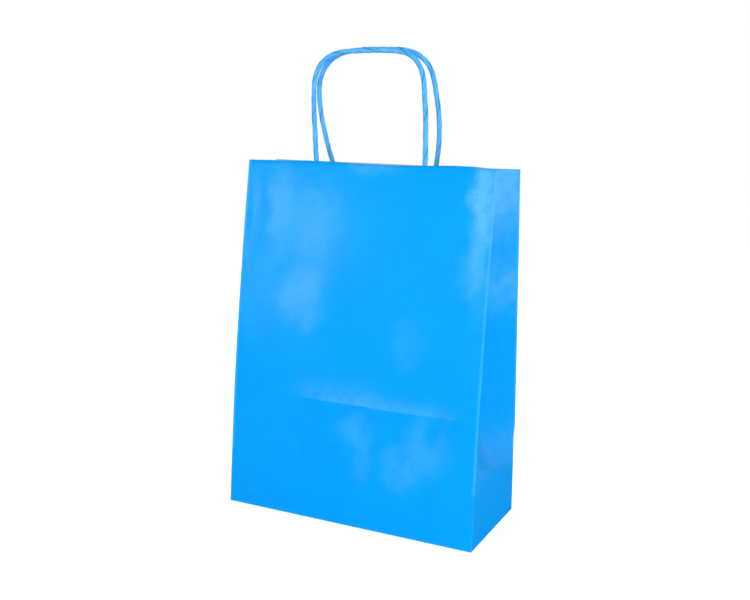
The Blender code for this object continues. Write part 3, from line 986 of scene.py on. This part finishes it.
def cord_radius(share, along, hand):
    """The rolled strip's radius at a share of the turn from its lapped edge."""
    lap = STRIP_EDGE * (1 - share)
    near_edge = min(share, 1 - share)
    groove = GROOVE_DEPTH * math.exp(-(near_edge / GROOVE_WIDTH) ** 2)
    sway = WRINKLE_SWAY * math.sin(along * WRINKLE_SWAYS_ALONG)
    wrinkle = WRINKLE_DEPTH * math.sin(2 * math.pi * (WRINKLES_ROUND * share + sway))
    spot = Vector((share * ROUGH_ROUND, along * ROUGH_ALONG, hand * ROUGH_APART))
    rough = ROUGH_DEPTH * noise.noise(spot)
    return CORD_REACH - lap - groove + (wrinkle + rough) * smooth_step(near_edge / LAP_CLEAR)


def cord_faces(stations, size):
    """Faces round a tube of rings with the same number of points, and over its two ends."""
    faces = []
    for station in range(stations - 1):
        for corner in range(size):
            low = station * size + corner
            low_next = station * size + (corner + 1) % size
            faces.append((low, low_next, low_next + size, low + size))
    faces.append(tuple(reversed(range(size))))
    faces.append(tuple(range((stations - 1) * size, stations * size)))
    return faces


def make_cord(side, material):
    """A paper strip rolled and twisted into a cord, so its edge winds round as a long helix."""
    route = even_points(handle_route(side), CORD_STEP)
    steps_per_twist = TWIST_PITCH / CORD_STEP
    across = Vector((1.0, 0.0, 0.0))
    points = []
    windings = []
    painted_groove_shades = []
    for index, centre in enumerate(route):
        before = route[max(index - 1, 0)]
        after = route[min(index + 1, len(route) - 1)]
        ahead = (after - before).normalized()
        across = (across - ahead * across.dot(ahead)).normalized()
        other = ahead.cross(across)
        turn = 2 * math.pi * index / steps_per_twist
        along = index * CORD_STEP
        for corner in range(CORD_SIDES + 1):
            share = corner / CORD_SIDES
            angle = 2 * math.pi * share + turn
            radius = cord_radius(share, along, side_y(side))
            points.append(centre + (across * math.cos(angle) + other * math.sin(angle)) * radius)
            windings.append((share * FINE_ROUND, along * FINE_ALONG, side_y(side) * FINE_APART))
            # How strongly painted shade darkens the groove at each point
            painted_groove_shades.append(math.exp(-(min(share, 1 - share) / GROOVE_SHADE_WIDTH) ** 2))
    mesh = bpy.data.meshes.new(side + "_cord")
    mesh.from_pydata(points, [], cord_faces(len(route), CORD_SIDES + 1))
    winding = mesh.attributes.new("winding", "FLOAT_VECTOR", "POINT")
    winding.data.foreach_set("vector", np.array(windings, np.float32).ravel())
    add_values(mesh, "groove", painted_groove_shades)
    mesh.materials.append(material)
    mesh.shade_smooth()
    mesh.set_sharp_from_angle(angle=CORD_SHARP)
    cord = add_object(side + "_twisted_cord", mesh)
    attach(cord, "root")
    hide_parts(side + "_handle_cord")


# The patches keep the part's own shapes

def dress_patches(material):
    for side in ("front", "back"):
        for kind in ("base", "cover"):
            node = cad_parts[f"{side}_patch_{kind}"]
            node.data.materials.clear()
            node.data.materials.append(material)


# Floor, light and camera. The floor is pale to the camera and less so in what the paper mirrors.
FLOOR_HALF = 4.0
FLOOR_DROP = 0.0002
FLOOR_GLOW = 0.66
FLOOR_GLOW_MIRRORED = 0.35
WORLD_LIGHT = 0.50
WORLD_SEEN = 1.0
CAMERA_YAW = math.radians(26.07)
CAMERA_PITCH = math.radians(9.96)
CAMERA_ROLL = math.radians(1.18)
CAMERA_TARGET = Vector((-0.0002, 0.0, 0.1776))
CAMERA_DISTANCE = 0.8053
CAMERA_FOCAL_PIXELS = 976.66
CAMERA_NEAR = 0.01
PHOTO_WIDTH = 750
SENSOR = 36.0

# Soft lamps round the bag, as (name, azimuth, elevation, width, height, power). An azimuth is
# turned from -Y towards +X, in degrees.
LAMP_AIM = Vector((0.0, 0.0, 0.15))
LAMP_DISTANCE = 1.5
SOFTBOXES = (
    ("left", -33.0, 7.0, 0.20, 0.30, 2.3),
    ("front", -8.0, 9.0, 0.18, 0.34, 1.6),
    ("right", 47.0, 4.0, 0.70, 0.60, 12.5),
    ("top", 10.0, 62.0, 1.0, 1.0, 1.5),
    ("behind", 198.0, 22.0, 1.1, 0.9, 9.0),
)


def make_floor():
    mesh = bpy.data.meshes.new("floor")
    spans = ((-1, -1), (1, -1), (1, 1), (-1, 1))
    corners = [(across * FLOOR_HALF, along * FLOOR_HALF, -FLOOR_DROP) for across, along in spans]
    mesh.from_pydata(corners, [], [(0, 1, 2, 3)])
    material, tree, shader = new_material("pale_floor")
    shader.inputs["Base Color"].default_value = FLOOR_GREY
    shader.inputs["Roughness"].default_value = FLOOR_ROUGHNESS
    shader.inputs["Specular IOR Level"].default_value = 0.0
    shader.inputs["Emission Color"].default_value = WHITE
    path = add_node(tree, "ShaderNodeLightPath")
    direct = math_node(tree, "MAXIMUM", path.outputs["Is Camera Ray"], path.outputs["Is Transmission Ray"])
    direct = math_node(tree, "MULTIPLY", direct, FLOOR_GLOW)
    mirrored = math_node(tree, "MULTIPLY", path.outputs["Is Glossy Ray"], FLOOR_GLOW_MIRRORED)
    tree.links.new(math_node(tree, "ADD", direct, mirrored), shader.inputs["Emission Strength"])
    mesh.materials.append(material)
    add_object("floor", mesh)


def make_world():
    world = bpy.data.worlds.new("studio")
    bpy.context.scene.world = world
    world.use_nodes = True
    tree = world.node_tree
    back = tree.nodes["Background"]
    back.inputs["Color"].default_value = WHITE
    path = add_node(tree, "ShaderNodeLightPath")
    seen = math_node(tree, "MAXIMUM", path.outputs["Is Camera Ray"], path.outputs["Is Glossy Ray"])
    seen = math_node(tree, "MAXIMUM", seen, path.outputs["Is Transmission Ray"])
    tree.links.new(remap(tree, seen, (0.0, 1.0), (WORLD_LIGHT, WORLD_SEEN)), back.inputs["Strength"])


def add_softbox(name, azimuth, elevation, width, height, power):
    lamp = bpy.data.lights.new(name, "AREA")
    lamp.shape = "RECTANGLE"
    lamp.size = width
    lamp.size_y = height
    lamp.energy = power
    turn = math.radians(azimuth)
    lift = math.radians(elevation)
    way = Vector((math.sin(turn) * math.cos(lift), -math.cos(turn) * math.cos(lift), math.sin(lift)))
    item = add_object(name, lamp)
    item.location = LAMP_AIM + way * LAMP_DISTANCE
    item.rotation_euler = way.to_track_quat("Z", "Y").to_euler()


def make_camera():
    """The photograph's camera, turned round the bag by the yaw and tipped down by the pitch."""
    data = bpy.data.cameras.new("camera")
    data.sensor_width = SENSOR
    data.lens = CAMERA_FOCAL_PIXELS / PHOTO_WIDTH * SENSOR
    data.clip_start = CAMERA_NEAR
    yaw, pitch, roll = CAMERA_YAW, CAMERA_PITCH, CAMERA_ROLL
    ahead = Vector((-math.sin(yaw) * math.cos(pitch), math.cos(yaw) * math.cos(pitch), -math.sin(pitch)))
    right = Vector((math.cos(yaw), math.sin(yaw), 0.0))
    up = right.cross(ahead)
    turned_right = right * math.cos(roll) + up * math.sin(roll)
    turned_up = up * math.cos(roll) - right * math.sin(roll)
    turn = Matrix((turned_right, turned_up, -ahead)).transposed().to_4x4()
    camera = add_object("camera", data)
    camera.matrix_world = Matrix.Translation(CAMERA_TARGET - ahead * CAMERA_DISTANCE) @ turn
    bpy.context.scene.camera = camera


noise.seed_set(RAGGED_SEED)
make_bag()
cord_material = cord_paper()
for side in ("front", "back"):
    make_cord(side, cord_material)
dress_patches(plain_paper("white_paper_patch", PATCH_WHITE, PATCH_SHADE))
make_floor()
make_world()
for softbox in SOFTBOXES:
    add_softbox(*softbox)
make_camera()
bpy.context.scene.view_settings.view_transform = "Standard"
